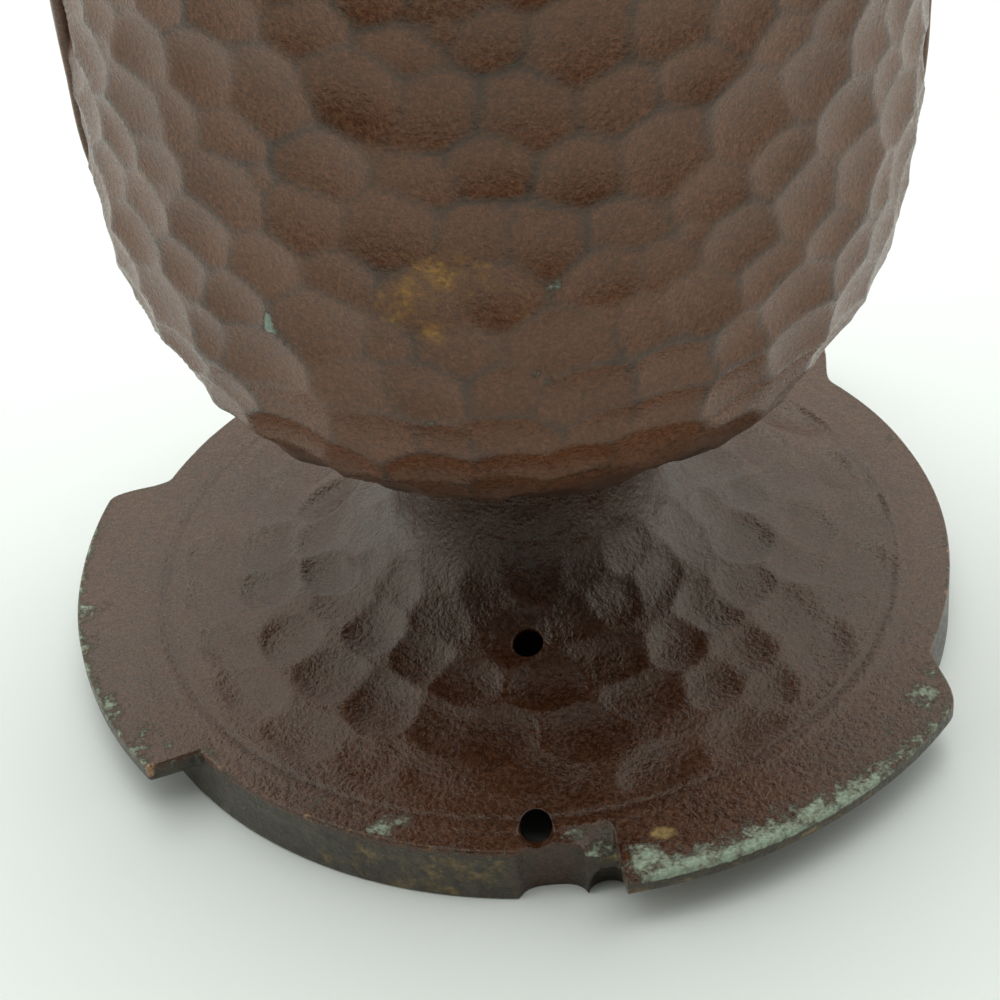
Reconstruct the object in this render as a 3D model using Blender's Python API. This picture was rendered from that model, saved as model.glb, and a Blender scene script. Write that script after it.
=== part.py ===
# Flower frog: a hammered bronze cup with a high hood, on a cast foot that locks into a bowl.
# Metres, +Z up. The origin is on the foot's axis, in the plane that its skirt stands on.
# The open mouth of the cup faces +Y, and the back of the hood faces -Y.

import math

import bmesh
import bpy
from mathutils import Matrix, Vector

MM = 0.001

# clearances
GAP = 0.3 * MM              # between pieces that touch
PAST = 4.0 * MM             # how far a cutter runs past what it cuts

# foot
SKIRT_R = 48.0 * MM
SKIRT_WALL = 3.0 * MM
RIM_Z = 7.2 * MM            # top of the flat rim
EDGE = 0.4 * MM             # small chamfer on the skirt's edges
NECK_R = 13.3 * MM
NECK_TOP = 32.8 * MM
NUT_SEAT_Z = 15.1 * MM
NUT_SEAT_R = 10.0 * MM

# lobes that lock under the rim of a bowl
LOBE_R = 53.7 * MM
LOBE_BOTTOM = 5.0 * MM
LOBE_TOP = RIM_Z - 0.05 * MM
LOBE_ROOT_R = SKIRT_R - 2.0 * MM
LOBE_SKEW = 2.0             # degrees that the square end leans, root against tip
LOBES = {                   # degrees round from +X: square end, sloping end, and the slope's length
    "left": (214.6, 155.0, 7.0),
    "front_right": (277.2, 334.3, 10.0),
    "back_right": (92.0, 36.5, 9.0),
}

# drilled holes and the worn notch beside the rim hole
HOLE_R = 1.75 * MM
RIM_HOLE = {"azimuth": -93.0, "r": 44.2 * MM, "z": RIM_Z, "rise": 45.0}
CONE_HOLE = {"azimuth": -94.5, "r": 21.0 * MM, "z": 12.6 * MM, "rise": 61.0}
SCALLOP_R = 3.6 * MM
SCALLOP_DEPTH = 2.4 * MM
SCALLOP_X = -0.65 * MM
SCALLOP_TILT = 11.0
WORN_X = (2.0 * MM, 6.5 * MM)
WORN_TOP_R = 43.0 * MM
WORN_SLOPE = 31.0

# cup
CUP_R = 43.1 * MM
CUP_DEPTH = 42.6 * MM       # from the widest level down to the tip of its curve
CUP_WIDEST_Z = 74.6 * MM
CUP_POWER = 2.47            # 2 would be an ellipse
CUP_WALL = 2.0 * MM
CUP_PAD_Z = NECK_TOP + GAP
CUP_STOCK_TOP = 140.0 * MM  # the turned blank, before the mouth is cut
MOUTH_SIDE = [              # side view of the mouth's edge: distance forward, height
    (62.0, 49.0), (34.0, 49.0), (18.0, 50.0), (8.5, 54.5), (4.2, 63.0), (1.6, 74.0),
    (-1.5, 86.0), (-8.5, 100.0), (-20.5, 113.0), (-36.0, 124.0), (-52.0, 132.5),
]
BINDING_WIDTH = 3.4 * MM
BINDING_THICK = 0.9 * MM

# bolt that joins the cup to the foot
BOLT_R = 2.9 * MM
BOLT_HOLE_R = BOLT_R + GAP
BOLT_HEAD_R = 6.0 * MM
BOLT_HEAD_H = 2.2 * MM
BOLT_END_Z = 8.1 * MM
SLOT_WIDTH = 1.2 * MM
SLOT_DEPTH = 1.0 * MM
SEAL_R = 8.0 * MM
SEAL_THICK = 1.0 * MM
WASHER_R = 9.0 * MM
WASHER_THICK = 1.2 * MM
NUT_ACROSS_FLATS = 10.0 * MM
NUT_THICK = 4.0 * MM

# pin holder that lifts out of the cup
BASE_R = 26.0 * MM
BASE_FOOT_R = 23.5 * MM
BASE_BOTTOM = 38.85 * MM
BASE_SHOULDER = 41.0 * MM
BASE_TOP = 44.1 * MM
BASE_RELIEF_R = 7.5 * MM
BASE_RELIEF_Z = 39.7 * MM
PIN_R = 0.75 * MM
PIN_PITCH = 6.0 * MM
PIN_RINGS = 3
PIN_BOTTOM = 41.4 * MM
PIN_SHOULDER = 54.1 * MM
PIN_TIP = 58.1 * MM

# how finely round pieces are divided
FOOT_STEPS = 72
CUP_STEPS = 64
CUP_ROWS = 12
MOUTH_STEPS = 5
BINDING_STEPS = 96
SMALL_STEPS = 32
PIN_STEPS = 10
ARC_STEP = 4.0              # degrees
SHARP_ANGLE = math.radians(32.0)


# ---- tools ----

def link(name, mesh):
    piece = bpy.data.objects.new(name, mesh)
    bpy.context.scene.collection.objects.link(piece)
    return piece


def finish_mesh(name, bm):
    bmesh.ops.recalc_face_normals(bm, faces=bm.faces)
    mesh = bpy.data.meshes.new(name)
    bm.to_mesh(mesh)
    bm.free()
    mesh.shade_smooth()
    mesh.set_sharp_from_angle(angle=SHARP_ANGLE)
    return mesh


def turned_mesh(name, outline, steps):
    """Turns an outline of (radius, height) about Z. Points on the axis close the shape."""
    bm = bmesh.new()
    points = [bm.verts.new((r, 0.0, z)) for r, z in outline]
    edges = [bm.edges.new(pair) for pair in zip(points, points[1:])]
    if outline[0][0] > 0.0:
        edges.append(bm.edges.new((points[-1], points[0])))
    bmesh.ops.spin(
        bm, geom=points + edges, axis=(0, 0, 1), cent=(0, 0, 0),
        angle=math.tau, steps=steps, use_merge=True,
    )
    bmesh.ops.remove_doubles(bm, verts=bm.verts, dist=0.001 * MM)
    return finish_mesh(name, bm)


def turned(name, outline, steps):
    return link(name, turned_mesh(name, outline, steps))


def prism(name, outline, along, length):
    """Extrudes a closed outline of points by a vector's direction and a length."""
    bm = bmesh.new()
    face = bm.faces.new([bm.verts.new(point) for point in outline])
    extruded = bmesh.ops.extrude_face_region(bm, geom=[face])
    moved = [item for item in extruded["geom"] if isinstance(item, bmesh.types.BMVert)]
    bmesh.ops.translate(bm, verts=moved, vec=Vector(along).normalized() * length)
    return link(name, finish_mesh(name, bm))


def rod(name, radius, length, centre, direction, steps=SMALL_STEPS):
    """A cylinder with its middle at centre."""
    piece = turned(name, [
        (0.0, length / 2), (radius, length / 2), (radius, -length / 2), (0.0, -length / 2),
    ], steps)
    piece.location = centre
    piece.rotation_euler = Vector(direction).to_track_quat("Z", "Y").to_euler()
    return piece


def block(name, size, centre, tilt_x=0.0):
    """A box with its middle at centre, tilted about X in degrees."""
    bm = bmesh.new()
    bmesh.ops.create_cube(bm, size=1.0)
    bmesh.ops.scale(bm, vec=size, verts=bm.verts)
    piece = link(name, finish_mesh(name, bm))
    piece.location = centre
    piece.rotation_euler = (math.radians(tilt_x), 0.0, 0.0)
    return piece


def combine(piece, tool, operation="DIFFERENCE"):
    modifier = piece.modifiers.new(tool.name, "BOOLEAN")
    modifier.operation = operation
    modifier.solver = "EXACT"
    modifier.object = tool
    tool.hide_render = True
    tool.display_type = "WIRE"


def polar(r, azimuth, z):
    angle = math.radians(azimuth)
    return Vector((r * math.cos(angle), r * math.sin(angle), z))


def smooth_line(points, steps):
    """A line through the points, rounded with Catmull-Rom curves."""
    line = []
    for i in range(1, len(points) - 2):
        before, start, end, after = (Vector(points[i + k]) for k in (-1, 0, 1, 2))
        for step in range(steps):
            t = step / steps
            line.append(0.5 * (
                2 * start + (end - before) * t
                + (2 * before - 5 * start + 4 * end - after) * t ** 2
                + (3 * start - before - 3 * end + after) * t ** 3
            ))
    line.append(Vector(points[-2]))
    return line


def evenly_spaced(points, count):
    """The same line with count points an equal distance apart."""
    reach = [0.0]
    for a, b in zip(points, points[1:]):
        reach.append(reach[-1] + (b - a).length)
    spaced = []
    k = 0
    for i in range(count):
        want = reach[-1] * i / (count - 1)
        while k < len(points) - 2 and reach[k + 1] < want:
            k += 1
        part = (want - reach[k]) / (reach[k + 1] - reach[k])
        spaced.append(points[k].lerp(points[k + 1], part))
    return spaced


# ---- materials ----

def finish(piece, name, colour, roughness, metallic):
    material = bpy.data.materials.new(name)
    material.use_nodes = True
    shader = material.node_tree.nodes["Principled BSDF"]
    shader.inputs["Base Color"].default_value = (*colour, 1.0)
    shader.inputs["Roughness"].default_value = roughness
    shader.inputs["Metallic"].default_value = metallic
    piece.data.materials.append(material)


def brown_bronze(piece):
    finish(piece, piece.name + "_brown_bronze", (0.10, 0.055, 0.035), 0.45, 0.7)


def worn_bronze(piece):
    finish(piece, piece.name + "_worn_bronze", (0.16, 0.095, 0.055), 0.38, 0.8)


def yellow_brass(piece):
    finish(piece, piece.name + "_yellow_brass", (0.55, 0.38, 0.15), 0.35, 0.9)


def grey_lead(piece):
    finish(piece, piece.name + "_grey_lead", (0.13, 0.13, 0.13), 0.6, 0.6)


def black_rubber(piece):
    finish(piece, piece.name + "_black_rubber", (0.02, 0.02, 0.02), 0.8, 0.0)


# ---- foot ----

def foot_outline():
    top = [
        (NECK_R - EDGE, NECK_TOP), (NECK_R, NECK_TOP - EDGE), (NECK_R, 23.1 * MM),
        (14.5 * MM, 19.1 * MM), (17.0 * MM, 15.6 * MM), (21.0 * MM, 12.6 * MM),
        (27.0 * MM, 10.1 * MM), (34.0 * MM, 8.5 * MM), (41.0 * MM, RIM_Z + 0.3 * MM),
        (43.5 * MM, RIM_Z), (SKIRT_R - EDGE, RIM_Z),
    ]
    skirt = [
        (SKIRT_R, RIM_Z - EDGE), (SKIRT_R, EDGE), (SKIRT_R - EDGE, 0.0),
        (SKIRT_R - SKIRT_WALL, 0.0),
    ]
    hollow = [
        (SKIRT_R - SKIRT_WALL, 4.1 * MM), (41.0 * MM, 4.4 * MM), (34.0 * MM, 5.4 * MM),
        (27.0 * MM, 7.0 * MM), (21.0 * MM, 9.4 * MM), (17.0 * MM, 11.9 * MM),
        (14.0 * MM, 13.7 * MM), (NUT_SEAT_R, NUT_SEAT_Z),
    ]
    bore = [(BOLT_HOLE_R, NUT_SEAT_Z), (BOLT_HOLE_R, NECK_TOP)]
    return top + skirt + hollow + bore


def lobe_outline(square_end, sloping_end, slope):
    """The lobe from above: an arc with one square end and one end that slopes in to the skirt."""
    turn = 1.0 if sloping_end > square_end else -1.0
    span = abs(sloping_end - square_end)
    root_span = span + LOBE_SKEW
    count = int(span / ARC_STEP) * 2
    outer = []
    inner = []
    for i in range(count + 1):
        along = span * i / count
        left = span - along
        ease = min(1.0, left / slope)
        ease = ease * ease * (3.0 - 2.0 * ease)
        r = SKIRT_R - EDGE + (LOBE_R - SKIRT_R + EDGE) * ease
        azimuth = square_end + turn * along
        outer.append(polar(r, azimuth, LOBE_BOTTOM))
        root_azimuth = sloping_end - turn * root_span * (1.0 - i / count)
        inner.append(polar(LOBE_ROOT_R, root_azimuth, LOBE_BOTTOM))
    return outer + inner[::-1]


def drill(name, hole, length):
    rise = math.radians(hole["rise"])
    out = polar(math.cos(rise), hole["azimuth"], math.sin(rise))
    return rod(name, HOLE_R, length, polar(hole["r"], hole["azimuth"], hole["z"]), out)


def scallop():
    tilt = math.radians(SCALLOP_TILT)
    foot_y = -(SKIRT_R - SCALLOP_DEPTH + SCALLOP_R)
    return rod(
        "scallop_cutter", SCALLOP_R, 6 * RIM_Z, (SCALLOP_X, foot_y, 0.0),
        (0.0, -math.sin(tilt), math.cos(tilt)),
    )


def worn_corner():
    """A box whose sloping underside takes the top corner off the rim beside the rim hole."""
    slope = math.radians(WORN_SLOPE)
    size = 14.0 * MM
    down_slope = Vector((0.0, -math.cos(slope), -math.sin(slope)))
    off_slope = Vector((0.0, -math.sin(slope), math.cos(slope)))
    start = Vector((sum(WORN_X) / 2, -WORN_TOP_R, RIM_Z))
    centre = start + (down_slope + off_slope) * size / 2
    return block(
        "worn_corner_cutter", (WORN_X[1] - WORN_X[0], size, size), centre, WORN_SLOPE
    )


def make_foot():
    foot = turned("foot", foot_outline(), FOOT_STEPS)
    for name, ends in LOBES.items():
        lobe = prism(
            name + "_lobe", lobe_outline(*ends), (0, 0, 1), LOBE_TOP - LOBE_BOTTOM
        )
        combine(foot, lobe, "UNION")
    combine(foot, scallop())
    combine(foot, worn_corner())
    combine(foot, drill("rim_hole_cutter", RIM_HOLE, 16.0 * MM))
    combine(foot, drill("cone_hole_cutter", CONE_HOLE, 12.0 * MM))
    brown_bronze(foot)


# ---- cup ----

def cup_radius(z, inset=0.0):
    """Radius of the cup's outside at a height, or of a surface that lies inset within it."""
    if z >= CUP_WIDEST_Z:
        return CUP_R - inset
    drop = min(1.0, (CUP_WIDEST_Z - z) / (CUP_DEPTH - inset))
    return (CUP_R - inset) * (1.0 - drop ** CUP_POWER) ** (1.0 / CUP_POWER)


def belly(inset, lowest):
    """Points from the widest level down to a flat floor at the height lowest."""
    depth = CUP_DEPTH - inset
    last = math.acos(((CUP_WIDEST_Z - lowest) / depth) ** (CUP_POWER / 2))
    points = []
    for i in range(CUP_ROWS + 1):
        angle = math.pi / 2 + (last - math.pi / 2) * i / CUP_ROWS
        z = CUP_WIDEST_Z - depth * math.cos(angle) ** (2 / CUP_POWER)
        points.append((cup_radius(z, inset), z))
    return points


def mouth_side():
    points = [(y * MM, z * MM) for y, z in MOUTH_SIDE]
    ends_doubled = [points[0]] + points + [points[-1]]
    return smooth_line(ends_doubled, MOUTH_STEPS)


def make_cup():
    floor_z = CUP_PAD_Z + CUP_WALL
    outside = [(CUP_R, CUP_STOCK_TOP)] + belly(0.0, CUP_PAD_Z)
    bolt_hole = [(BOLT_HOLE_R, CUP_PAD_Z), (BOLT_HOLE_R, floor_z)]
    inside = belly(CUP_WALL, floor_z)[::-1] + [(CUP_R - CUP_WALL, CUP_STOCK_TOP)]
    cup = turned("cup", outside + bolt_hole + inside, CUP_STEPS)
    side = mouth_side()
    high = CUP_STOCK_TOP + PAST
    outline = [(-CUP_R - PAST, y, z) for y, z in side]
    outline += [(-CUP_R - PAST, side[-1][0], high)]
    outline += [(-CUP_R - PAST, side[0][0], high)]
    mouth = prism("mouth_cutter", outline, (1, 0, 0), 2 * (CUP_R + PAST))
    combine(cup, mouth)
    brown_bronze(cup)


def mouth_edge():
    """The edge where the mouth meets the cup's outside, once round, starting at the front."""
    half = []
    side = mouth_side()
    for a, b in zip(side, side[1:]):
        for step in range(40):
            y, z = a.lerp(b, step / 40)
            r = cup_radius(z)
            if abs(y) < r:
                half.append(Vector((math.sqrt(r * r - y * y), y, z)))
    half[0].x = 0.0
    half[-1].x = 0.0
    other = [Vector((-p.x, p.y, p.z)) for p in half[-2:0:-1]]
    return evenly_spaced(half + other + half[:1], BINDING_STEPS + 1)[:-1]


def cup_normal(point):
    """Unit vector straight out of the cup's outer surface."""
    small = 0.05 * MM
    r = cup_radius(point.z)
    slope = (cup_radius(point.z + small) - cup_radius(point.z - small)) / (2 * small)
    return Vector((point.x / r, point.y / r, -slope)).normalized()


def make_mouth_binding():
    """A strip round the outside of the mouth, with its outer corners rounded off."""
    corner = BINDING_THICK * 0.45
    section = [                 # out from the wall, and back from the mouth's edge
        (GAP, 0.0), (GAP + BINDING_THICK - corner, 0.0), (GAP + BINDING_THICK, corner),
        (GAP + BINDING_THICK, BINDING_WIDTH - corner),
        (GAP + BINDING_THICK - corner, BINDING_WIDTH), (GAP, BINDING_WIDTH),
    ]
    edge = mouth_edge()
    count = len(edge)
    bm = bmesh.new()
    rings = []
    for i, point in enumerate(edge):
        along = (edge[(i + 1) % count] - edge[i - 1]).normalized()
        out = cup_normal(point)
        back = out.cross(along).normalized()
        rings.append([bm.verts.new(point + out * u + back * v) for u, v in section])
    for i, ring in enumerate(rings):
        following = rings[(i + 1) % count]
        for k in range(len(section)):
            n = (k + 1) % len(section)
            bm.faces.new((ring[k], ring[n], following[n], following[k]))
    binding = link("mouth_binding", finish_mesh("mouth_binding", bm))
    worn_bronze(binding)


# ---- bolt, washers and nut ----

def ring_outline(outer, inner, bottom, top):
    return [(outer, top), (outer, bottom), (inner, bottom), (inner, top)]


def make_fixing():
    seal_bottom = CUP_PAD_Z + CUP_WALL + GAP
    seal_top = seal_bottom + SEAL_THICK
    seal = turned(
        "sealing_washer", ring_outline(SEAL_R, BOLT_HOLE_R, seal_bottom, seal_top), SMALL_STEPS
    )
    black_rubber(seal)

    head_bottom = seal_top + GAP
    head_top = head_bottom + BOLT_HEAD_H
    bolt = turned("centre_bolt", [
        (0.0, head_top), (BOLT_HEAD_R - EDGE, head_top), (BOLT_HEAD_R, head_top - EDGE),
        (BOLT_HEAD_R, head_bottom), (BOLT_R, head_bottom), (BOLT_R, BOLT_END_Z + EDGE),
        (BOLT_R - EDGE, BOLT_END_Z), (0.0, BOLT_END_Z),
    ], SMALL_STEPS)
    slot = block(
        "slot_cutter", (3 * BOLT_HEAD_R, SLOT_WIDTH, 2 * SLOT_DEPTH), (0.0, 0.0, head_top)
    )
    combine(bolt, slot)
    yellow_brass(bolt)

    washer_top = NUT_SEAT_Z - GAP
    washer_bottom = washer_top - WASHER_THICK
    washer = turned(
        "backing_washer", ring_outline(WASHER_R, BOLT_HOLE_R, washer_bottom, washer_top),
        SMALL_STEPS,
    )
    yellow_brass(washer)

    nut_top = washer_bottom - GAP
    corner_r = NUT_ACROSS_FLATS / 2 / math.cos(math.pi / 6)
    hexagon = [polar(corner_r, 60.0 * k, nut_top) for k in range(6)]
    nut = prism("foot_nut", hexagon, (0, 0, -1), NUT_THICK)
    nut_bore = rod("nut_bore_cutter", BOLT_HOLE_R, 4 * NUT_THICK, (0.0, 0.0, nut_top), (0, 0, 1))
    combine(nut, nut_bore)
    yellow_brass(nut)


# ---- pin holder ----

def pin_places():
    """Centres of a close-packed hexagon of pins, one ring after another."""
    places = [(0.0, 0.0)]
    for ring in range(1, PIN_RINGS + 1):
        corners = [polar(ring * PIN_PITCH, 60.0 * k, 0.0) for k in range(7)]
        for start, end in zip(corners, corners[1:]):
            for step in range(ring):
                place = start.lerp(end, step / ring)
                places.append((place.x, place.y))
    return places


def make_pin_base(holder):
    base = turned("pin_base", [
        (0.0, BASE_TOP), (BASE_R - EDGE, BASE_TOP), (BASE_R, BASE_TOP - EDGE),
        (BASE_R, BASE_SHOULDER), (BASE_FOOT_R, BASE_BOTTOM), (BASE_RELIEF_R, BASE_BOTTOM),
        (BASE_RELIEF_R, BASE_RELIEF_Z), (0.0, BASE_RELIEF_Z),
    ], 2 * SMALL_STEPS)
    bm = bmesh.new()
    hole_bottom = PIN_BOTTOM - GAP
    for x, y in pin_places():
        bmesh.ops.create_cone(
            bm, cap_ends=True, segments=PIN_STEPS, radius1=PIN_R + GAP, radius2=PIN_R + GAP,
            depth=2 * (BASE_TOP - hole_bottom), matrix=Matrix.Translation((x, y, BASE_TOP)),
        )
    holes = link("pin_hole_cutter", finish_mesh("pin_hole_cutter", bm))
    combine(base, holes)
    grey_lead(base)
    base.parent = holder


def make_pins(holder):
    mesh = turned_mesh("pin", [
        (0.0, PIN_TIP), (PIN_R, PIN_SHOULDER), (PIN_R, PIN_BOTTOM), (0.0, PIN_BOTTOM),
    ], PIN_STEPS)
    for number, (x, y) in enumerate(pin_places(), start=1):
        pin = link(f"pin_{number:02d}", mesh)
        pin.location = (x, y, 0.0)
        pin.parent = holder
        if number == 1:
            yellow_brass(pin)


def make_pin_holder():
    holder = bpy.data.objects.new("pin_holder_axis", None)
    bpy.context.scene.collection.objects.link(holder)
    make_pin_base(holder)
    make_pins(holder)


for old in list(bpy.data.objects):
    bpy.data.objects.remove(old)

make_foot()
make_cup()
make_mouth_binding()
make_fixing()
make_pin_holder()
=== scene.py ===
import math
import random

import bmesh
import bpy
import numpy as np
from mathutils import Matrix, Vector, noise


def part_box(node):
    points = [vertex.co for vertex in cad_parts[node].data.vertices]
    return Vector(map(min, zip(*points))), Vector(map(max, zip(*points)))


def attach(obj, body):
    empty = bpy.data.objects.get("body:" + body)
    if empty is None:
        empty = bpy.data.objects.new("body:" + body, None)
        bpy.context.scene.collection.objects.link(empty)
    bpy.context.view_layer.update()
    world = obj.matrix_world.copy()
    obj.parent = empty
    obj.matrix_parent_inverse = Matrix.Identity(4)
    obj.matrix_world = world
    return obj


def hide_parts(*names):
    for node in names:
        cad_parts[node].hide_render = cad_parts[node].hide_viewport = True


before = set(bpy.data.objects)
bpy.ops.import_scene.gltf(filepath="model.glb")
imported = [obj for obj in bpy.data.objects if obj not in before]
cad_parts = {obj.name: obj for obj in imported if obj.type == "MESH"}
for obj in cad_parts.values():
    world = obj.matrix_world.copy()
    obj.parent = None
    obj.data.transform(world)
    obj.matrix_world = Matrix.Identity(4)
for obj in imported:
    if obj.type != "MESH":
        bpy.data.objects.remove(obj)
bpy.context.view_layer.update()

mm = 0.001

# lengths in the dictionaries are millimetres, angles are degrees round from +X


def polar(r, azimuth, z):
    angle = math.radians(azimuth)
    return Vector((r * math.cos(angle), r * math.sin(angle), z))


def smoothStep(x):
    x = np.clip(x, 0.0, 1.0)
    return x * x * (3.0 - 2.0 * x)


def curveThrough(points, steps):
    # Catmull-Rom through the points, ends included
    pts = [np.array(p, float) for p in points]
    pts = [2 * pts[0] - pts[1]] + pts + [2 * pts[-1] - pts[-2]]
    line = []
    for a, b, c, d in zip(pts, pts[1:], pts[2:], pts[3:]):
        for step in range(steps):
            t = step / steps
            line.append(0.5 * (
                2 * b + (c - a) * t
                + (2 * a - 5 * b + 4 * c - d) * t ** 2
                + (3 * b - a - 3 * c + d) * t ** 3
            ))
    line.append(pts[-2])
    return np.array(line)


def reachAlong(line):
    # distance from a line's start to each of its points
    return np.concatenate([[0.0], np.cumsum(np.linalg.norm(np.diff(line, axis=0), axis=1))])


def crowded(fine, density, count):
    # picks count places, closer together where the density is higher
    reach = np.concatenate([[0.0], np.cumsum((density[1:] + density[:-1]) / 2)])
    return np.interp(np.linspace(0.0, reach[-1], count, endpoint=False), reach, fine)


def alongLine(line, count):
    # count points at equal distances along a line
    reach = reachAlong(line)
    want = np.linspace(0.0, reach[-1], count)
    return np.stack([np.interp(want, reach, line[:, k]) for k in range(line.shape[1])], 1)


def gridPiece(name, points, closedRows=True):
    # a mesh from rows of points that run right round; closedRows joins the last row to the first
    rows, cols, _ = points.shape
    mesh = bpy.data.meshes.new(name)
    lastRow = rows if closedRows else rows - 1
    i = np.arange(lastRow)[:, None]
    j = np.arange(cols)[None, :]
    nextI = (i + 1) % rows
    nextJ = (j + 1) % cols
    corners = np.stack([
        i * cols + j, i * cols + nextJ, nextI * cols + nextJ, nextI * cols + j,
    ], 2).reshape(-1)
    count = lastRow * cols
    mesh.vertices.add(rows * cols)
    mesh.vertices.foreach_set("co", (points * mm).astype(np.float32).reshape(-1))
    mesh.loops.add(count * 4)
    mesh.loops.foreach_set("vertex_index", corners.astype(np.int32))
    mesh.polygons.add(count)
    mesh.polygons.foreach_set("loop_start", np.arange(count, dtype=np.int32) * 4)
    mesh.update(calc_edges=True)
    mesh.shade_smooth()
    piece = bpy.data.objects.new(name, mesh)
    bpy.context.scene.collection.objects.link(piece)
    return piece


def paint(piece, name, values):
    # one number for each point of the mesh, for its material to read
    layer = piece.data.attributes.new(name, "FLOAT", "POINT")
    layer.data.foreach_set("value", np.asarray(values, np.float32).reshape(-1))


def paintMaps(piece, shape, **maps):
    # every patina reads these six maps, and one that isn't given is zero
    for name in ("hollow", "seam", "shade", "green", "rust", "bare"):
        paint(piece, name, maps.get(name, np.zeros(shape)))


def faceOut(piece):
    # turns every face round if the closed mesh is inside out
    mesh = piece.data
    mesh.calc_loop_triangles()
    co = np.zeros(len(mesh.vertices) * 3, np.float32)
    mesh.vertices.foreach_get("co", co)
    co = co.reshape(-1, 3)
    tri = np.zeros(len(mesh.loop_triangles) * 3, np.int32)
    mesh.loop_triangles.foreach_get("vertices", tri)
    a, b, c = (co[tri.reshape(-1, 3)[:, k]] for k in range(3))
    if (np.cross(a, b) * c).sum() < 0.0:
        mesh.flip_normals()


def turnedPiece(name, outline, sides):
    # outline of (radius, height), closed on the axis or on itself
    angles = np.linspace(0.0, math.tau, sides, endpoint=False)
    pts = np.array(outline, float)
    grid = np.stack([
        pts[:, :1] * np.cos(angles), pts[:, :1] * np.sin(angles),
        np.repeat(pts[:, 1:], sides, 1),
    ], 2)
    return gridPiece(name, grid, closedRows=outline[0][0] > 0.0)


def closeOnAxis(piece):
    # joins the points that meet on the axis
    bm = bmesh.new()
    bm.from_mesh(piece.data)
    bmesh.ops.remove_doubles(bm, verts=bm.verts, dist=0.0005 * mm)
    bmesh.ops.recalc_face_normals(bm, faces=bm.faces)
    bm.to_mesh(piece.data)
    bm.free()


def lumps(points, size, amount, seed):
    # smooth random rise and fall over a surface
    shift = Vector((seed * 3.7, seed * 1.9, seed * 5.3))
    flat = points.reshape(-1, 3) / size
    values = [noise.noise(Vector(p) + shift) for p in flat]
    return np.array(values).reshape(points.shape[:-1]) * amount


def strike(depthMap, azimuth, along, radius, blows, softness):
    # lowers depthMap where each blow lands. Neighbouring blows meet in a soft ridge
    total = np.ones_like(depthMap)
    for blow in blows:
        near = np.abs((azimuth[0] - blow["azimuth"] + 180.0) % 360.0 - 180.0)
        reach = math.degrees(1.25 * blow["across"] / max(blow["r"], 1.0))
        cols = np.nonzero(near < reach)[0]
        if len(cols) == 0:
            continue
        turn = (azimuth[0, cols] - blow["azimuth"] + 180.0) % 360.0 - 180.0
        du = np.radians(turn)[None, :] * radius[:, cols]
        dv = along[:, cols] - blow["along"]
        c, s = math.cos(blow["twist"]), math.sin(blow["twist"])
        x = (du * c + dv * s) / blow["across"]
        y = (-du * s + dv * c) / blow["up"]
        dist = np.sqrt(x * x + y * y)
        rows = np.nonzero((dist < 1.25).any(1))[0]
        if len(rows) == 0:
            continue
        dist = dist[rows]
        bowl = -blow["depth"] * (1.0 - dist ** blow["power"])
        bowl = np.where(dist < 1.25, bowl, 1.0)
        total[np.ix_(rows, cols)] += np.exp(-bowl / softness)
    depthMap -= softness * np.log(total)
    return depthMap


def ridgeLines(dents, height):
    # 1 along the ridges where blows meet, 0 inside them
    around = [np.roll(dents, (i, j), (0, 1)) for i in (-1, 0, 1) for j in (-1, 0, 1)]
    return np.clip((dents - np.mean(around, 0)) / height, 0.0, 1.0)


def newMaterial(name):
    material = bpy.data.materials.new(name)
    material.use_nodes = True
    return material, material.node_tree


def addNode(tree, kind, **settings):
    node = tree.nodes.new(kind)
    for key, value in settings.items():
        if key in node.inputs:
            node.inputs[key].default_value = value
        else:
            setattr(node, key, value)
    return node


def joinTo(tree, output, node, socket):
    tree.links.new(output, node.inputs[socket])


def noiseOut(tree, scale, detail=4.0, roughness=0.55, distortion=0.0):
    where = addNode(tree, "ShaderNodeTexCoord")
    node = addNode(tree, "ShaderNodeTexNoise")
    node.inputs["Scale"].default_value = scale
    node.inputs["Detail"].default_value = detail
    node.inputs["Roughness"].default_value = roughness
    node.inputs["Distortion"].default_value = distortion
    joinTo(tree, where.outputs["Object"], node, "Vector")
    return node.outputs["Fac"]


def attributeOut(tree, name):
    return addNode(tree, "ShaderNodeAttribute", attribute_name=name).outputs["Fac"]


def rampOut(tree, value, low, high, lowTo=0.0, highTo=1.0):
    node = addNode(tree, "ShaderNodeMapRange", interpolation_type="SMOOTHSTEP")
    joinTo(tree, value, node, "Value")
    node.inputs["From Min"].default_value = low
    node.inputs["From Max"].default_value = high
    node.inputs["To Min"].default_value = lowTo
    node.inputs["To Max"].default_value = highTo
    return node.outputs["Result"]


def mathOut(tree, operation, a, b):
    node = addNode(tree, "ShaderNodeMath", operation=operation)
    for k, value in enumerate((a, b)):
        if isinstance(value, (int, float)):
            node.inputs[k].default_value = value
        else:
            tree.links.new(value, node.inputs[k])
    return node.outputs[0]


def mixColour(tree, amount, under, over):
    node = addNode(tree, "ShaderNodeMix", data_type="RGBA")
    if isinstance(amount, (int, float)):
        node.inputs[0].default_value = amount
    else:
        tree.links.new(amount, node.inputs[0])
    for k, value in ((6, under), (7, over)):
        if isinstance(value, tuple):
            node.inputs[k].default_value = (*value, 1.0)
        else:
            tree.links.new(value, node.inputs[k])
    return node.outputs[2]


def bumpOut(tree, height, distance, strength, under=None):
    node = addNode(tree, "ShaderNodeBump")
    node.inputs["Strength"].default_value = strength
    node.inputs["Distance"].default_value = distance
    joinTo(tree, height, node, "Height")
    if under is not None:
        joinTo(tree, under, node, "Normal")
    return node.outputs["Normal"]


def wear(piece, material):
    piece.data.materials.clear()
    piece.data.materials.append(material)


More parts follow.
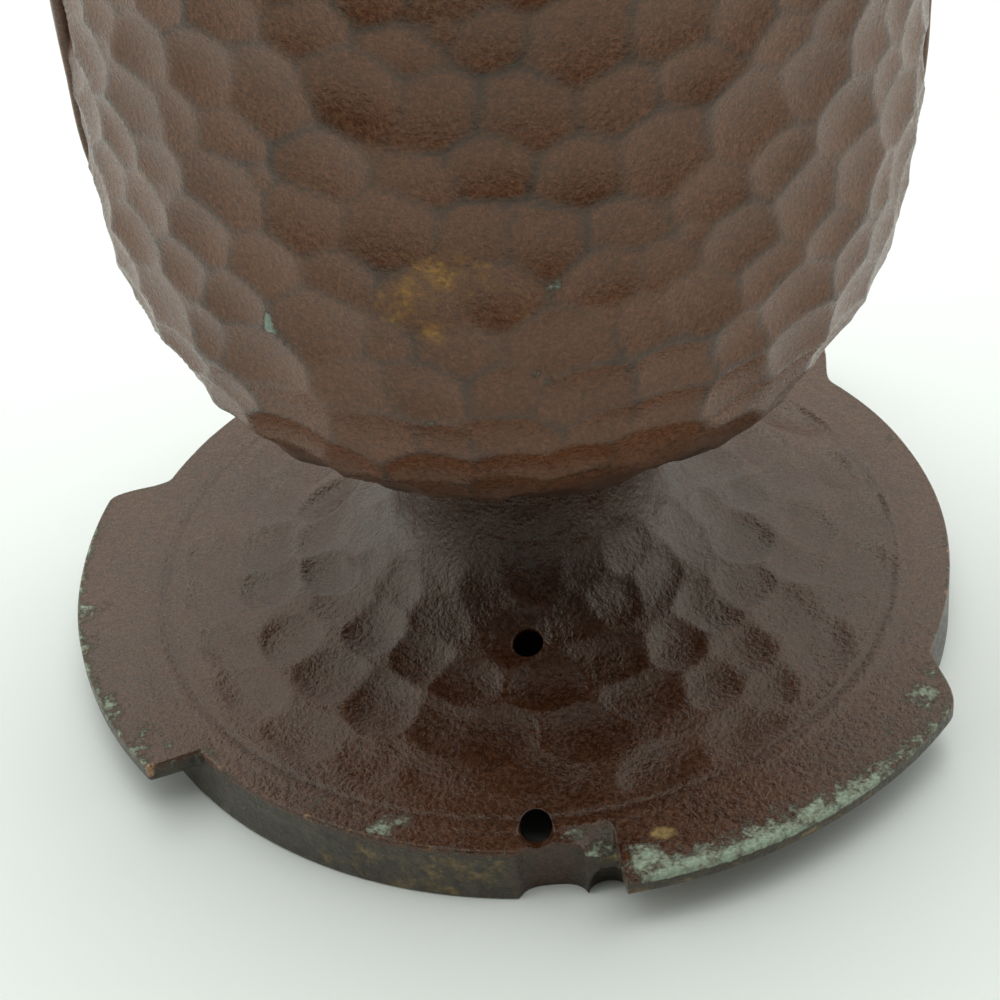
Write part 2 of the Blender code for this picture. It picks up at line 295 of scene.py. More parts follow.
patinaScale = {              # a higher scale is a finer pattern
    "broad": 85.0,
    "mottle": 1600.0,
    "fine": 3300.0,
    "paintedShade": 520.0,
    "stain": 420.0,
    "rust": 1600.0,
    "bare": 700.0,
    "crust": 760.0,
    "crustTone": 2100.0,
}

patinaShare = {              # how strongly each layer shows
    "broad": 0.45,
    "mottle": 0.44,
    "fine": 0.60,
    "hollow": 0.55,
    "seam": 0.78,
    "shade": 0.92,
    "rust": 0.80,
    "green": 0.92,
}


def patinaMaterial(name, look):
    # brown oxide, darker in the hollows, with painted shade on undersides, insides and under the cup,
    # green crust, stains and bare specks
    material, tree = newMaterial(name)
    shader = tree.nodes["Principled BSDF"]
    scale = patinaScale

    def layer(colour, name, amount, over):
        return mixColour(tree, mathOut(tree, "MULTIPLY", amount, patinaShare[name]), colour, over)

    broad = rampOut(tree, noiseOut(tree, scale["broad"], 3.0), 0.35, 0.68)
    mottle = rampOut(tree, noiseOut(tree, scale["mottle"], 4.0, 0.7), 0.42, 0.60)
    fine = rampOut(tree, noiseOut(tree, scale["fine"], 3.0, 0.7), 0.42, 0.58)
    colour = layer(look["mid"], "broad", broad, look["dark"])
    colour = layer(colour, "mottle", mottle, look["light"])
    colour = layer(colour, "fine", fine, look["dark"])
    # darker in the hollows, and painted shade on the foot's cone near the neck
    colour = layer(colour, "hollow", attributeOut(tree, "hollow"), look["dark"])
    colour = layer(colour, "seam", attributeOut(tree, "seam"), look["seam"])

    # painted shade: where the shade map is set, the colour is darkened towards a near-black brown
    shade = attributeOut(tree, "shade")
    paintedShadeTone = rampOut(tree, noiseOut(tree, scale["paintedShade"], 7.0, 0.8), 0.40, 0.66)
    paintedShade = mixColour(tree, paintedShadeTone, look["paintedShade"], tuple(3.4 * c for c in look["paintedShade"]))
    colour = layer(colour, "shade", shade, paintedShade)

    stainEdge = noiseOut(tree, scale["stain"], 6.0, 0.7, 0.3)
    rustAt = mathOut(tree, "ADD", attributeOut(tree, "rust"), mathOut(tree, "MULTIPLY", stainEdge, 1.5))
    rust = rampOut(tree, rustAt, 1.12, 1.60)
    rustTone = rampOut(tree, noiseOut(tree, scale["rust"], 3.0, 0.7), 0.35, 0.65)
    rustColour = mixColour(tree, rustTone, look["rust"], tuple(0.35 * c for c in look["rust"]))
    colour = layer(colour, "rust", rust, rustColour)

    specks = noiseOut(tree, scale["bare"], 5.0, 0.7)
    bare = mathOut(tree, "MULTIPLY", attributeOut(tree, "bare"), specks)
    colour = mixColour(tree, rampOut(tree, bare, 0.40, 0.55), colour, look["metal"])

    crustEdge = noiseOut(tree, scale["crust"], 9.0, 0.78)
    ragged = mathOut(tree, "MULTIPLY", crustEdge, 2.2)
    greenAt = mathOut(tree, "ADD", attributeOut(tree, "green"), ragged)
    green = rampOut(tree, greenAt, 1.62, 1.80)
    thick = rampOut(tree, greenAt, 1.75, 2.10)
    paleness = rampOut(tree, noiseOut(tree, scale["crustTone"], 4.0, 0.7), 0.36, 0.66)
    thin = mixColour(tree, paleness, tuple(0.30 * c for c in look["green"]), look["crust"])
    deep = mixColour(tree, paleness, look["green"], tuple(1.55 * c for c in look["green"]))
    colour = layer(colour, "green", green, mixColour(tree, thick, thin, deep))
    joinTo(tree, colour, shader, "Base Color")

    rough = rampOut(tree, mottle, 0.0, 1.0, look["roughness"] - 0.06, look["roughness"] + 0.08)
    crusty = mathOut(tree, "MAXIMUM", green, mathOut(tree, "MULTIPLY", rust, 0.6))
    rough = mathOut(tree, "ADD", rough, mathOut(tree, "MULTIPLY", crusty, 0.4))
    rough = mathOut(tree, "ADD", rough, mathOut(tree, "MULTIPLY", shade, 0.12))
    joinTo(tree, rough, shader, "Roughness")
    shader.inputs["IOR"].default_value = look["ior"]
    shader.inputs["Specular Tint"].default_value = (*look["gloss"], 1.0)
    shader.inputs["Metallic"].default_value = 0.0
    grain, grainDepth = look["grain"], look["grainDepth"]
    normal = bumpOut(tree, noiseOut(tree, grain, 3.0, 0.6), grainDepth * mm, 0.75)
    normal = bumpOut(tree, noiseOut(tree, 2.6 * grain, 2.0, 0.6), 0.4 * grainDepth * mm, 0.6, normal)
    crustHeight = mathOut(tree, "MULTIPLY", green, mathOut(tree, "ADD", crustEdge, 0.4))
    normal = bumpOut(tree, crustHeight, 0.22 * mm, 0.7, normal)
    joinTo(tree, normal, shader, "Normal")
    return material


def metalMaterial(name, colour, roughness, grain, metallic, tarnish):
    material, tree = newMaterial(name)
    shader = tree.nodes["Principled BSDF"]
    cloud = rampOut(tree, noiseOut(tree, grain * 0.12, 5.0, 0.6), 0.38, 0.66)
    tint = mixColour(tree, mathOut(tree, "MULTIPLY", cloud, 0.75), colour, tarnish)
    fine = rampOut(tree, noiseOut(tree, grain, 3.0, 0.6), 0.35, 0.7)
    tint = mixColour(tree, mathOut(tree, "MULTIPLY", fine, 0.3), tint, tarnish)
    joinTo(tree, tint, shader, "Base Color")
    rough = rampOut(tree, cloud, 0.0, 1.0, roughness - 0.06, roughness + 0.18)
    joinTo(tree, rough, shader, "Roughness")
    shader.inputs["Metallic"].default_value = metallic
    normal = bumpOut(tree, noiseOut(tree, grain, 4.0, 0.6), 0.03 * mm, 0.5)
    joinTo(tree, normal, shader, "Normal")
    return material


cupShape = {
    "r": 43.1,
    "depth": 42.6,
    "widestZ": 74.6,
    "power": 2.47,
    "wall": 2.0,
    "padZ": 33.1,            # the flat pad that sits on the neck
    "padR": 9.0,
    "boltHoleR": 3.2,
    "lean": 0.0115,          # sideways drift of the axis for each unit of height
    "swell": 0.56,           # how far the ridges stand out from the plain shape
    "mouthSide": [           # the mouth's edge from the side: distance forward, height
        (62.0, 49.0), (34.0, 49.0), (18.0, 50.0), (8.5, 54.5), (4.2, 63.0), (1.6, 74.0),
        (-1.5, 86.0), (-8.5, 100.0), (-20.5, 113.0), (-36.0, 124.0), (-52.0, 132.5),
    ],
    "columns": 440,
    "outerRows": 168,
    "lipRows": 6,
    "lipRise": 0.55,
    "innerRows": 46,
    "hammer": {
        "seed": 11,
        "rowPitch": 6.3,
        "pitchAcross": 7.9,
        "halfAcross": 5.5,
        "halfUp": 4.65,
        "depth": 1.10,
        "jitter": 0.22,
        "softness": 0.026,
        "closest": 0.76,         # pitch near the floor, as a share of the pitch on the wall
        "closestR": 14.0,
        "openR": 40.0,
        "sizeSpread": (0.82, 1.18),
        "depthSpread": (0.72, 1.12),
        "drift": 0.9,            # how far a row wanders up and down
        "smallBlows": 0.18,      # share of small blows between the others
        "smallHalf": (2.7, 2.5),
        "smallDepth": 0.52,      # as a share of the others' depth
        "fadeBelow": 3.0,        # the dents fade out towards the pad and the mouth
        "fadeAbove": 2.2,
        "seamHeight": 0.085,     # how sharp a ridge must be to look fully dark
    },
    "patina": {
        "dark": (0.055, 0.017, 0.006),
        "mid": (0.144, 0.049, 0.018),
        "light": (0.238, 0.104, 0.048),
        "roughness": 0.28,
        "ior": 1.50,
        "gloss": (1.0, 0.91, 0.80),
        "green": (0.20, 0.26, 0.22),
        "crust": (0.30, 0.30, 0.24),
        "grain": 1900.0,         # scale of the fine bumps, and how high they stand
        "grainDepth": 0.16,
        "seam": (0.022, 0.022, 0.017),
        # the colour of the painted shade
        "paintedShade": (0.012, 0.0075, 0.0058),
        "rust": (0.42, 0.20, 0.035),
        "metal": (0.42, 0.24, 0.12),
    },
    # stains and green spots: azimuth, height, size, strength
    "stains": [
        (-104.4, 74.0, 2.6, 1.20), (-99.5, 77.0, 3.0, 1.25), (-95.0, 76.0, 2.6, 1.05),
        (-90.5, 75.2, 2.4, 0.90), (-100.8, 70.8, 1.7, 1.05), (-143.4, 79.7, 0.8, 0.8),
        (-127.4, 83.8, 0.8, 0.75), (-60.0, 62.0, 0.7, 0.7), (40.0, 40.0, 4.0, 0.45),
        (150.0, 70.0, 1.6, 0.5),
    ],
    "greens": [
        (-123.6, 68.6, 1.6, 0.90), (-102.6, 58.7, 1.8, 0.90), (-87.0, 64.2, 2.8, 0.80),
        (-81.5, 100.3, 1.6, 0.80), (-86.0, 75.6, 1.5, 0.80), (-99.0, 80.5, 1.2, 0.75),
        (-112.0, 90.0, 1.2, 0.75), (60.0, 45.0, 2.5, 0.80), (170.0, 60.0, 1.5, 0.80),
    ],
}


def cupRadius(z, inset=0.0):
    c = cupShape
    drop = np.clip((c["widestZ"] - np.asarray(z, float)) / (c["depth"] - inset), 0.0, 1.0)
    return (c["r"] - inset) * (1.0 - drop ** c["power"]) ** (1.0 / c["power"])


def cupProfile(inset, lowest, highest=140.0):
    # (radius, height) from the floor's edge up the belly and the straight wall, with its arc length
    c = cupShape
    depth = c["depth"] - inset
    first = math.acos(((c["widestZ"] - lowest) / depth) ** (c["power"] / 2))
    angle = np.linspace(first, math.pi / 2, 400)
    z = c["widestZ"] - depth * np.cos(angle) ** (2 / c["power"])
    line = np.stack([cupRadius(z, inset), z], 1)
    line = np.vstack([line, [c["r"] - inset, highest]])
    return line, reachAlong(line)


def mouthHeights(inset, turn):
    # height of the mouth's edge at each angle away from straight forward
    side = curveThrough(cupShape["mouthSide"], 60)
    keep = np.abs(side[:, 0]) < cupRadius(side[:, 1], inset)
    side = side[keep]
    angle = np.arccos(np.clip(side[:, 0] / cupRadius(side[:, 1], inset), -1.0, 1.0))
    return np.interp(turn, angle, side[:, 1])


def cupColumns(count):
    # azimuths packed closer together where the mouth's edge climbs steeply
    fine = np.linspace(-180.0, 180.0, 4001)
    turn = np.abs(fine)
    density = 1.0 + 1.6 * np.exp(-((turn - 86.0) / 11.0) ** 2)
    return crowded(fine, density, count)


def cupBlows(line, reach, highest):
    h = cupShape["hammer"]
    pick = random.Random(h["seed"])
    blows = []
    along = -1.0
    start = 0.0
    while along < highest + 3.0:
        r = float(np.interp(along, reach, line[:, 0]))
        opened = min(1.0, max(0.0, (r - h["closestR"]) / (h["openR"] - h["closestR"])))
        squeeze = h["closest"] + (1.0 - h["closest"]) * opened
        count = max(5, round(math.tau * r / (h["pitchAcross"] * squeeze)))
        start += 180.0 / count + pick.uniform(-1.0, 1.0)
        for k in range(count):
            size = pick.uniform(*h["sizeSpread"])
            drift = h["drift"] * math.sin(math.tau * k / count * 3 + along)
            blow = {
                "azimuth": start + (k + pick.uniform(-1, 1) * h["jitter"]) * 360.0 / count,
                "along": along + drift + pick.uniform(-1, 1) * h["jitter"] * h["rowPitch"],
                "r": r,
                "across": h["halfAcross"] * size * squeeze,
                "up": h["halfUp"] * size * squeeze * pick.uniform(0.88, 1.12),
                "depth": h["depth"] * size * (1.9 - 0.9 * squeeze) * pick.uniform(*h["depthSpread"]),
                "twist": pick.uniform(-0.35, 0.35),
                "power": 2.0,
            }
            blows.append(blow)
            if pick.random() < h["smallBlows"]:
                blows.append({
                    **blow,
                    "azimuth": blow["azimuth"] + 180.0 / count,
                    "along": blow["along"] + h["rowPitch"] * pick.uniform(0.3, 0.6),
                    "across": h["smallHalf"][0] * size,
                    "up": h["smallHalf"][1] * size,
                    "depth": h["smallDepth"] * h["depth"],
                })
        along += h["rowPitch"] * (0.10 + 0.90 * squeeze)
    return blows


def makeCup():
    c = cupShape
    outerLine, outerReach = cupProfile(0.0, c["padZ"])
    floorZ = c["padZ"] + c["wall"]
    innerLine, innerReach = cupProfile(c["wall"], floorZ)
    turn = cupColumns(c["columns"])              # degrees away from straight forward
    azimuth = turn + 90.0
    rad = np.radians(azimuth)

    topZ = mouthHeights(0.0, np.radians(np.abs(turn)))
    topAlong = np.interp(topZ, outerLine[:, 1], outerReach)
    share = np.linspace(0.0, 1.0, c["outerRows"])[:, None]
    along = share * topAlong[None, :]
    r = np.interp(along, outerReach, outerLine[:, 0])
    z = np.interp(along, outerReach, outerLine[:, 1])
    step = 0.02
    ahead, behind = along + step, along - step
    nr = np.interp(ahead, outerReach, outerLine[:, 1]) - np.interp(behind, outerReach, outerLine[:, 1])
    nz = np.interp(behind, outerReach, outerLine[:, 0]) - np.interp(ahead, outerReach, outerLine[:, 0])
    length = np.hypot(nr, nz)
    nr, nz = nr / length, nz / length
    blows = cupBlows(outerLine, outerReach, float(topAlong.max()))
    azimuths = np.repeat(azimuth[None, :], c["outerRows"], 0)
    h = c["hammer"]
    dents = strike(np.zeros_like(along), azimuths, along, r, blows, h["softness"])
    toMouth = topAlong[None, :] - along
    fade = smoothStep(along / h["fadeBelow"]) * (0.25 + 0.75 * smoothStep(toMouth / h["fadeAbove"]))
    push = (dents + c["swell"]) * fade
    outer = np.stack([
        (r + nr * push) * np.cos(rad), (r + nr * push) * np.sin(rad), z + nz * push,
    ], 2)

    inTopZ = mouthHeights(c["wall"], np.radians(np.abs(turn)))
    inTop = np.interp(inTopZ, innerLine[:, 1], innerReach)
    share = np.linspace(1.0, 0.0, c["innerRows"])[:, None]
    inAlong = share * inTop[None, :]
    inR = np.interp(inAlong, innerReach, innerLine[:, 0])
    inZ = np.interp(inAlong, innerReach, innerLine[:, 1])
    azimuths = np.repeat(azimuth[None, :], c["innerRows"], 0)
    inDents = strike(np.zeros_like(inAlong), azimuths, inAlong, inR, blows, 0.06)
    inFade = smoothStep(inAlong / 3.0) * smoothStep((inTop[None, :] - inAlong) / 2.0)
    inR = inR + 0.34 * inDents * inFade
    inner = np.stack([inR * np.cos(rad), inR * np.sin(rad), inZ], 2)

    # the lip: half a round from the outer wall over to the inner wall
    top, bottom = outer[-1], inner[0]
    middle = (top + bottom) / 2
    half = (top - bottom) / 2
    upward = np.zeros_like(top)
    upward[:, 2] = c["lipRise"]
    lip = []
    for k in range(1, c["lipRows"] + 1):
        swing = math.pi * k / (c["lipRows"] + 1)
        lip.append(middle + half * math.cos(swing) + upward * math.sin(swing))
    lip = np.array(lip)

    padR, holeR = c["padR"], c["boltHoleR"]
    flat = [(padR, floorZ), (holeR, floorZ), (holeR, c["padZ"]), (padR, c["padZ"])]
    floor = np.array([
        np.stack([fr * np.cos(rad), fr * np.sin(rad), np.full_like(rad, fz)], 1)
        for fr, fz in flat
    ])
    points = np.concatenate([outer, lip, inner, floor])
    leanOver(points)
    cup = gridPiece("cup_shell", points)
    faceOut(cup)

    seam = np.zeros(points.shape[:2])
    seam[:c["outerRows"]] = ridgeLines(dents, h["seamHeight"]) * smoothStep(toMouth / 3.0)
    # some seams hold more dirt than others
    seam *= np.clip(0.62 + lumps(points, 6.0, 0.95, 12), 0.22, 1.0)
    # painted shade: the lower belly darkens towards the pad, and the whole inside of the cup is
    # darkened
    shade = np.zeros_like(seam)
    shade[:c["outerRows"]] = 0.90 * smoothStep((53.0 - z) / 15.0)
    shade[c["outerRows"] + c["lipRows"]:] = 0.35
    rust = stainMap(points, c["stains"]) * (0.56 + 0.44 * seam)
    green = stainMap(points, c["greens"]) * (0.50 + 0.36 * seam) + 0.22 * seam
    paintMaps(cup, seam.shape, seam=seam, shade=shade, rust=rust, green=green)
    wear(cup, patinaMaterial("cup_patina", c["patina"]))
    return cup


def leanOver(points):
    # the cup stands a touch out of upright
    points[:, :, 0] += cupShape["lean"] * np.clip(points[:, :, 2] - cupShape["padZ"], 0.0, None)


def stainMap(points, stains):
    strength = np.zeros(points.shape[:2])
    for azimuth, z, size, amount in stains:
        r = float(cupRadius(z))
        centre = np.array(polar(r, azimuth, z))
        centre[0] += cupShape["lean"] * (z - cupShape["padZ"])
        away = np.linalg.norm(points - centre, axis=2) / size
        strength = np.maximum(strength, amount * np.exp(-0.5 * away ** 2))
    return strength


bindingShape = {
    "width": 3.4,
    "proud": 1.12,           # how far it stands out from the wall
    "sunk": 0.95,            # how far it reaches in past the dents
    "stations": 620,
    "grain": 2200.0,
    "grainDepth": 0.04,
}


def mouthLine():
    # the mouth's outer edge once round, starting at the front
    side = curveThrough(cupShape["mouthSide"], 120)
    r = cupRadius(side[:, 1])
    keep = np.abs(side[:, 0]) < r
    side, r = side[keep], r[keep]
    x = np.sqrt(np.maximum(0.0, r * r - side[:, 0] ** 2))
    x[0] = 0.0
    x[-1] = 0.0
    right = np.stack([x, side[:, 0], side[:, 1]], 1)
    left = right[-2:0:-1] * np.array([-1.0, 1.0, 1.0])
    whole = np.vstack([right, left, right[:1]])
    reach = reachAlong(whole)
    want = np.linspace(0.0, reach[-1], bindingShape["stations"], endpoint=False)
    return np.stack([np.interp(want, reach, whole[:, k]) for k in range(3)], 1)


def makeBinding():
    b = bindingShape
    edge = mouthLine()
    forward = np.roll(edge, -2, 0) - np.roll(edge, 2, 0)
    forward /= np.linalg.norm(forward, axis=1)[:, None]
    r = cupRadius(edge[:, 2])
    slope = (cupRadius(edge[:, 2] + 0.05) - cupRadius(edge[:, 2] - 0.05)) / 0.1
    out = np.stack([edge[:, 0] / r, edge[:, 1] / r, -slope], 1)
    out /= np.linalg.norm(out, axis=1)[:, None]
    back = np.cross(out, forward)
    back /= np.linalg.norm(back, axis=1)[:, None]
    p, w = b["proud"], b["width"]
    section = [                # out from the wall, back from the mouth
        (-b["sunk"], -0.25), (0.25 * p, -0.34), (0.68 * p, -0.18), (0.93 * p, 0.20),
        (p, 0.75), (p, 0.5 * w), (0.97 * p, 0.78 * w), (0.84 * p, 0.93 * w),
        (0.60 * p, 0.99 * w), (0.25 * p, w), (-b["sunk"], w),
    ]
    wave = lumps(edge, 9.0, 0.12, 3)
    wobble = lumps(edge, 3.5, 0.07, 8)
    rows = []
    for u, v in section:
        outward = u + (wave if u > 0.3 else 0.0)
        sideways = v + (wobble if v > 0.5 * w else 0.0)
        rows.append(edge + out * np.reshape(outward, (-1, 1)) + back * np.reshape(sideways, (-1, 1)))
    points = np.array(rows)
    leanOver(points)
    binding = gridPiece("mouth_edge_strip", points)
    faceOut(binding)
    shape = points.shape[:2]
    hollow = np.zeros(shape)
    hollow[-2:] = 0.9
    bare = np.zeros(shape)
    bare[2:5] = 0.75
    paintMaps(binding, shape, hollow=hollow, green=0.12 * (hollow > 0.5), bare=bare)
    smoother = {**cupShape["patina"], "grain": b["grain"], "grainDepth": b["grainDepth"]}
    wear(binding, patinaMaterial("strip_patina", smoother))
    return binding


footShape = {
    "skirtR": 48.0,
    "skirtWall": 3.0,
    "lobeR": 53.7,
    "lobeUnderside": 5.0,
    "rimStartR": 43.8,       # where the flat rim begins
    "edgeRound": 0.32,
    "neckLip": 0.5,
    "boltHoleR": 3.2,
    "nutSeatR": 10.0,
    "nutSeatZ": 15.1,
    "coneTop": [             # radius, height, down the outside of the neck and the cone
        (13.3, 31.9), (13.35, 27.0), (13.6, 23.1), (14.6, 19.1), (17.0, 15.6),
        (21.0, 12.6), (27.0, 10.1), (34.0, 8.5), (40.0, 7.65), (43.8, 7.2),
    ],
    "coneUnderside": [       # from the inside of the skirt up to the nut's seat
        (44.6, 4.1), (41.0, 4.4), (34.0, 5.4), (27.0, 7.0), (21.0, 9.4), (17.0, 11.9),
        (14.0, 13.7),
    ],
    "columns": 470,
    "topRows": 132,
    "rimRows": 16,
    # each lobe's tip and root at its square end, its slope's foot and top
    "lobes": [
        {"tip": 214.5, "root": 216.4, "slopeFoot": 155.0, "slopeTop": 162.0},
        {"tip": 277.2, "root": 276.8, "slopeFoot": 334.3, "slopeTop": 324.3},
        {"tip": 92.0, "root": 93.4, "slopeFoot": 36.5, "slopeTop": 45.5},
    ],
    # the turned line between cone and rim, and the wear near the rim hole
    "rimWork": {
        "lineR": 42.4,
        "lineShift": (-1.1, -0.9),
        "lineDepth": 0.20,
        "lineWidth": 0.42,
        "lineRidge": 0.12,
        "scallopX": -0.95,
        "scallopHalf": 3.7,
        "scallopDepth": 2.0,
        "scallopTilt": 7.0,
        "scoopX": 5.0,
        "scoopHalf": 2.3,
        "scoopDepth": 2.0,
        "scoopTop": 3.9,
        "wornFrom": 1.2,
        "wornTo": 6.1,
        "wornStartR": 44.4,
        "wornSlope": 27.0,
    },
    # where each drilled hole comes out, and how steeply
    "drilled": [
        {"azimuth": -93.0, "r": 44.2, "z": 7.2, "rise": 45.0, "radius": 1.75, "flare": 0.16},
        {"azimuth": -94.5, "r": 21.0, "z": 12.6, "rise": 61.0, "radius": 1.75, "flare": 0.12},
    ],
    "hammer": {
        "seed": 5,
        "rows": [                # ring's radius, spacing round it, half sizes, depth
            (37.6, 8.4, 4.8, 3.3, 0.48), (31.6, 8.0, 4.8, 3.9, 0.78), (25.4, 7.4, 4.4, 3.7, 0.90),
            (20.0, 6.9, 3.9, 3.4, 0.62), (16.2, 6.4, 3.4, 3.5, 0.42),
        ],
        "jitter": 0.24,
        "softness": 0.05,
        "sizeSpread": (0.82, 1.2),
        "depthSpread": (0.55, 1.2),
    },
    "patina": {
        "dark": (0.018, 0.006, 0.003),
        "mid": (0.074, 0.022, 0.008),
        "light": (0.150, 0.060, 0.025),
        "roughness": 0.24,
        "ior": 1.54,
        "gloss": (1.0, 0.95, 0.84),
        "green": (0.25, 0.32, 0.24),
        "crust": (0.27, 0.26, 0.19),
        "grain": 1500.0,
        "grainDepth": 0.28,
        "seam": (0.03, 0.03, 0.026),
        # the colour of the painted shade
        "paintedShade": (0.018, 0.0155, 0.0105),
        "rust": (0.42, 0.28, 0.10),
        "metal": (0.42, 0.24, 0.12),
    },
    # crust and stains: azimuth, radius, size, strength
    "greens": [
        (-113.4, 46.0, 1.9, 0.78), (-111.5, 45.0, 1.3, 0.72), (-85.2, 48.2, 2.2, 0.70),
        (-80.0, 51.0, 2.2, 0.95), (-156.0, 53.3, 1.7, 0.75), (-158.5, 52.8, 1.5, 0.70),
        (-149.0, 52.6, 1.4, 0.70), (-151.0, 51.0, 1.4, 0.60), (-177.0, 50.0, 1.1, 0.66),
        (-147.0, 50.0, 1.4, 0.55), (-143.0, 47.5, 1.1, 0.60), (-124.0, 45.5, 1.0, 0.62),
        (-104.0, 47.6, 1.2, 0.60), (20.0, 47.0, 1.2, 0.60), (-87.6, 45.8, 1.6, 0.55),
        (130.0, 46.8, 1.8, 0.62), (88.0, 52.5, 1.8, 0.66), (-35.0, 50.5, 2.6, 0.66),
        (-176.0, 52.6, 1.6, 0.70), (-170.0, 53.0, 1.6, 0.68),
    ],
    "rusts": [
        (-77.2, 47.9, 0.9, 1.00), (-76.2, 48.1, 0.7, 0.95), (-115.0, 47.9, 1.2, 0.45),
        (-150.0, 30.0, 1.2, 0.3), (100.0, 44.0, 1.3, 0.45), (-20.0, 40.0, 0.9, 0.45),
    ],
}


def edgeRadius(azimuth):
    # how far out the rim reaches at each azimuth, lobes included
    f = footShape
    reach = np.zeros_like(azimuth)
    for lobe in f["lobes"]:
        turn = 1.0 if lobe["tip"] > lobe["slopeTop"] else -1.0
        start = lobe["slopeFoot"]
        around = (turn * (azimuth - start)) % 360.0
        rise = abs(lobe["slopeTop"] - lobe["slopeFoot"])
        tip = (turn * (lobe["tip"] - start)) % 360.0
        root = (turn * (lobe["root"] - start)) % 360.0
        up = smoothStep(around / rise)
        down = 1.0 - np.clip((around - tip) / (root - tip), 0.0, 1.0)
        inside = (around >= 0.0) & (around <= root)
        reach = np.maximum(reach, np.where(inside, np.minimum(up, down), 0.0))
    return f["skirtR"] + (f["lobeR"] - f["skirtR"]) * reach, reach


def footColumns(count):
    # azimuths, closer together at the lobes' ends and at the rim hole
    fine = np.linspace(0.0, 360.0, 14401)
    density = np.ones_like(fine)
    for lobe in footShape["lobes"]:
        for at, width, extra in (
            ((lobe["tip"] + lobe["root"]) / 2, 1.1, 9.0),
            ((lobe["slopeFoot"] + lobe["slopeTop"]) / 2, 5.0, 0.8),
        ):
            away = (fine - at + 180.0) % 360.0 - 180.0
            density += extra * np.exp(-(away / width) ** 2)
    away = (fine - 270.0 + 180.0) % 360.0 - 180.0
    density += 3.2 * np.exp(-(np.abs(away - 2.0) / 9.0) ** 4)
    return crowded(fine, density, count)


def footBlows(line, reach):
    h = footShape["hammer"]
    pick = random.Random(h["seed"])
    blows = []
    for ringR, pitch, across, up, depth in h["rows"]:
        count = round(math.tau * ringR / pitch)
        middle = float(np.interp(-ringR, -line[::-1, 0], reach[::-1]))
        start = pick.random() * 360.0
        for k in range(count):
            size = pick.uniform(*h["sizeSpread"])
            slip = pick.uniform(-1, 1) * h["jitter"]
            blows.append({
                "azimuth": start + (k + slip) * 360.0 / count,
                "along": middle + pick.uniform(-1, 1) * h["jitter"] * 2.0 * up,
                "r": ringR,
                "across": across * size,
                "up": up * pick.uniform(0.85, 1.15),
                "depth": depth * size * pick.uniform(*h["depthSpread"]),
                "twist": pick.uniform(-0.5, 0.5),
                "power": 2.5,
            })
    return blows


